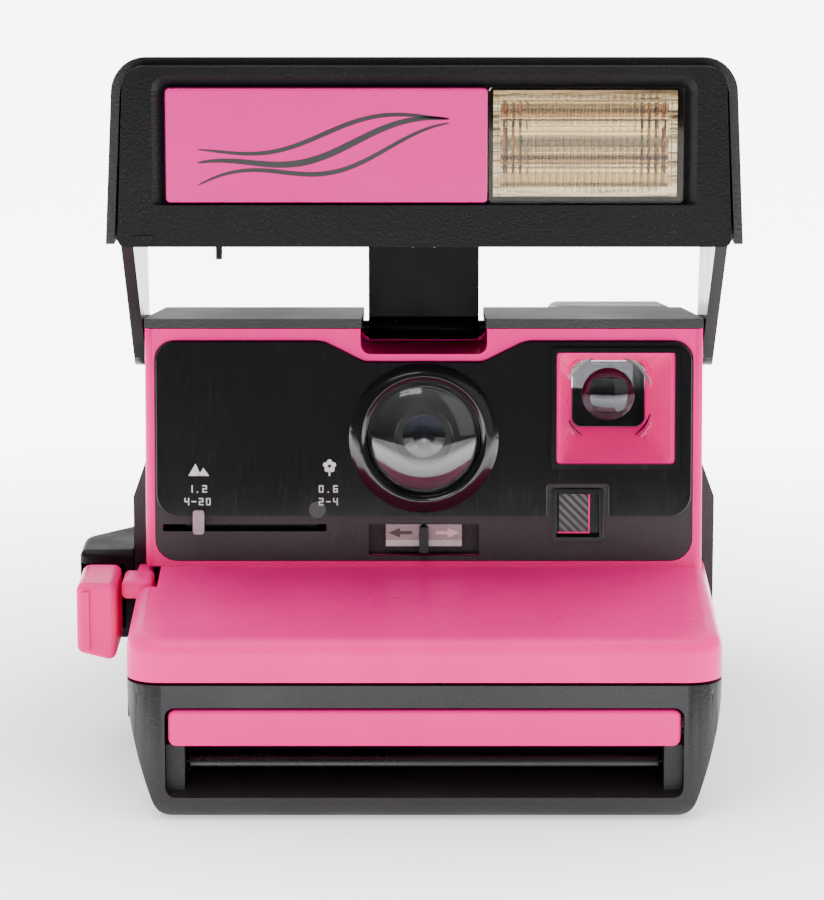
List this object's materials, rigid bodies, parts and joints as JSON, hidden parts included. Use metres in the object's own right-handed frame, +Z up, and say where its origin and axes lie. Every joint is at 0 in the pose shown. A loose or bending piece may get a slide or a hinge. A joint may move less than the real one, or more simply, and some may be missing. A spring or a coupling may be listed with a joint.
{
  "type": "instant camera",
  "caption": "Pink and black folding-flash instant camera: raised flash head on side arms, sloping black panel with round lens and viewfinder, film exit door below.",
  "frame": {"origin": "on the resting face, in the camera's middle plane, half way along the body", "axes": "+Z up, +X to the right as the lens looks at the viewer, +Y towards the back"},
  "size_m": [0.1326, 0.146, 0.1456],
  "materials": {
    "pink_shell": "semi-gloss pink ABS",
    "black_shell": "fine-grained black ABS",
    "black_panel": "matte charcoal",
    "gloss_black": "polished black acrylic with fine upright lines",
    "clear_plastic": "clear polished acrylic",
    "ribbed_lens": "clear ribbed acrylic, warm tint",
    "grey_plastic": "grey-pink printed plate",
    "steel": "plain steel",
    "black_steel": "blackened steel",
    "bright": "bright plated",
    "brass": "brass",
    "white_plastic": "white acetal",
    "board": "green laminate",
    "rubber": "moulded rubber",
    "blue_film": "sleeved capacitor"
  },
  "bodies": {
    "camera_body": {"base_chassis": "black_shell", "battery_contacts": "brass", "body_screws": "steel", "circuit_board": "board", "counter_shaft": "black_steel", "counter_window": "clear_plastic", "dark_box": "black_panel", "door_hinge_pins": "steel", "exposure_well": "black_panel", "eyepiece_lens": "clear_plastic", "faceplate": "black_panel", "film_frame": "black_steel", "flash_capacitor": "blue_film", "flash_pivot_pins": "steel", "front_shell": "pink_shell", "front_window": "gloss_black", "gear_bracket": "black_steel", "lens_barrel": "gloss_black", "lens_dome": "clear_plastic", "lens_ring": "gloss_black", "light_cell": "grey_plastic", "light_cell_frame": "pink_shell", "mirror": "bright", "motor": "steel", "rear_cover": "black_shell", "rubber_feet": "rubber", "shutter_housing": "black_panel", "side_housing": "black_shell", "taking_lens": "clear_plastic", "viewfinder_frame": "pink_shell", "viewfinder_tube": "black_panel", "viewfinder_window": "clear_plastic"},
    "film_door": {"door_shell": "black_shell", "slot_trim": "pink_shell", "roller_frame": "black_steel"},
    "door_latch": {"door_latch": "black_shell"},
    "upper_roller": {"upper_roller": "steel", "roller_gear": "white_plastic"},
    "lower_roller": {"lower_roller": "steel"},
    "idler_gear": {"idler_gear": "white_plastic"},
    "motor_pinion": {"motor_pinion": "brass"},
    "flash": {"flash_hood": "black_shell", "flash_bezel": "black_shell", "flash_badge": "pink_shell", "flash_lens": "ribbed_lens", "flash_reflector": "bright", "flash_tube": "ribbed_lens", "flash_arms": "black_shell", "flash_neck": "black_shell"},
    "shutter_button": {"shutter_button": "pink_shell"},
    "no_flash_button": {"no_flash_button": "black_shell"},
    "close_up_slider": {"close_up_tab": "clear_plastic", "close_up_carrier": "black_shell", "close_up_lens": "clear_plastic"},
    "exposure_slider": {"exposure_slider": "grey_plastic", "exposure_fin": "black_shell"},
    "blade_right": {"shutter_blade_right": "black_steel"},
    "blade_left": {"shutter_blade_left": "black_steel"},
    "counter_wheel": {"counter_wheel": "white_plastic"},
    "pick_arm": {"pick_arm": "steel"}
  },
  "joints": [
    {"name": "film_door_hinge", "type": "hinge", "parent": "camera_body", "child": "film_door", "pos_m": [0, -0.0466, 0.0026], "axis": [1, 0, 0], "range_deg": [0, 90]},
    {"name": "door_latch_slide", "type": "slide", "parent": "film_door", "child": "door_latch", "axis": [0, 1, 0], "range_m": [0, 0.0035]},
    {"name": "upper_roller_turn", "type": "hinge", "parent": "film_door", "child": "upper_roller", "pos_m": [0, -0.056, 0.01555], "axis": [1, 0, 0], "continuous": true},
    {"name": "lower_roller_turn", "type": "hinge", "parent": "film_door", "child": "lower_roller", "pos_m": [0, -0.056, 0.0074], "axis": [1, 0, 0], "continuous": true},
    {"name": "idler_gear_turn", "type": "hinge", "parent": "camera_body", "child": "idler_gear", "pos_m": [0.051, -0.04235, 0.0214], "axis": [1, 0, 0], "continuous": true},
    {"name": "motor_pinion_turn", "type": "hinge", "parent": "camera_body", "child": "motor_pinion", "pos_m": [0.051, -0.03222, 0.02931], "axis": [1, 0, 0], "continuous": true},
    {"name": "flash_fold", "type": "hinge", "parent": "camera_body", "child": "flash", "pos_m": [0, -0.007, 0.0863], "axis": [1, 0, 0], "range_deg": [0, 90]},
    {"name": "shutter_press", "type": "slide", "parent": "camera_body", "child": "shutter_button", "axis": [0, 1, 0], "range_m": [0, 0.003], "stiffness_N_per_m": 300, "springref_m": -0.003},
    {"name": "no_flash_press", "type": "slide", "parent": "camera_body", "child": "no_flash_button", "axis": [0, 1, 0], "range_m": [0, 0.0025], "stiffness_N_per_m": 300, "springref_m": -0.003},
    {"name": "close_up_slide", "type": "slide", "parent": "camera_body", "child": "close_up_slider", "axis": [1, 0, 0], "range_m": [0, 0.0236]},
    {"name": "exposure_slide", "type": "slide", "parent": "camera_body", "child": "exposure_slider", "axis": [1, 0, 0], "range_m": [-0.003, 0.003]},
    {"name": "right_blade_slide", "type": "slide", "parent": "camera_body", "child": "blade_right", "axis": [1, 0, 0], "range_m": [0, 0.007]},
    {"name": "left_blade_slide", "type": "slide", "parent": "camera_body", "child": "blade_left", "axis": [1, 0, 0], "range_m": [-0.007, 0]},
    {"name": "counter_turn", "type": "hinge", "parent": "camera_body", "child": "counter_wheel", "pos_m": [0.05, 0.046, 0.03644], "axis": [1, 0, 0], "range_deg": [0, 324]},
    {"name": "pick_arm_slide", "type": "slide", "parent": "camera_body", "child": "pick_arm", "axis": [0, -1, 0], "range_m": [0, 0.008]}
  ],
  "couplings": [
    {"joint": "lower_roller_turn", "follows": "upper_roller_turn", "ratio": -1},
    {"joint": "idler_gear_turn", "follows": "upper_roller_turn", "ratio": -0.54167},
    {"joint": "motor_pinion_turn", "follows": "upper_roller_turn", "ratio": 1.625},
    {"joint": "left_blade_slide", "follows": "right_blade_slide", "ratio": -1}
  ]
}
